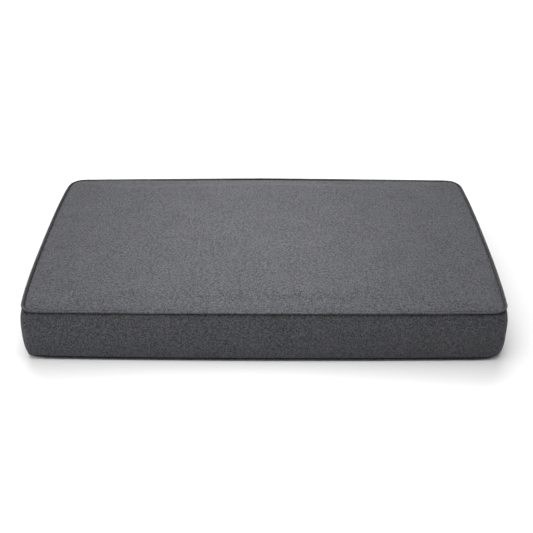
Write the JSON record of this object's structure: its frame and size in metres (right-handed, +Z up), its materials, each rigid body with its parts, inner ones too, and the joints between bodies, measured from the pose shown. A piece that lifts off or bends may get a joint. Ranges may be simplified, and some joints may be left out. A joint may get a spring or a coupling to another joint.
{
  "type": "kneeling pad",
  "caption": "Rectangular box-edge kneeling pad: charcoal woven cover with piped seams and a rear zip, over a wadded foam block.",
  "frame": {"origin": "on the underside where the pad rests, in the middle of the overall box", "axes": "+X along the long side, towards the closed end of the zip; +Y towards the rear, where the zip is; +Z up out of the kneeling face"},
  "size_m": [0.482, 0.2868, 0.0626],
  "materials": {
    "cover_cloth": "heathered charcoal woven polyester, matt",
    "piping_cloth": "the same cloth cut on the bias",
    "piping_cord": "twisted off-white cord",
    "foam": "fine open-cell cushion foam",
    "wadding": "white polyester wadding",
    "zip_tape": "black herringbone tape",
    "zip_coil": "black nylon coil, satin",
    "zip_metal": "gunmetal lacquered zinc",
    "label_cloth": "blank white woven satin"
  },
  "bodies": {
    "cover": {"top_panel": "cover_cloth", "bottom_panel": "cover_cloth", "boxing_strip": "cover_cloth", "rear_boxing_upper": "cover_cloth", "rear_boxing_lower": "cover_cloth", "top_piping_sleeve": "piping_cloth", "bottom_piping_sleeve": "piping_cloth", "top_piping_cord": "piping_cord", "bottom_piping_cord": "piping_cord", "foam_core": "foam", "wadding_upper": "wadding", "wadding_lower": "wadding", "zip_tape_upper": "zip_tape", "zip_tape_lower": "zip_tape", "zip_coil_upper": "zip_coil", "zip_coil_lower": "zip_coil", "zip_top_stop_upper": "zip_metal", "zip_top_stop_lower": "zip_metal", "zip_bottom_stop": "zip_metal", "care_label": "label_cloth"},
    "slider": {"zip_slider": "zip_metal"},
    "pull_tab": {"zip_pull_tab": "zip_metal"}
  },
  "joints": [
    {"name": "zip_slide", "type": "slide", "parent": "cover", "child": "slider", "axis": [-1, 0, 0], "range_m": [0, 0.386]},
    {"name": "tab_flip", "type": "hinge", "parent": "slider", "child": "pull_tab", "pos_m": [0.193, 0.14178, 0.0299], "axis": [0, 0, -1], "range_deg": [0, 180]}
  ]
}
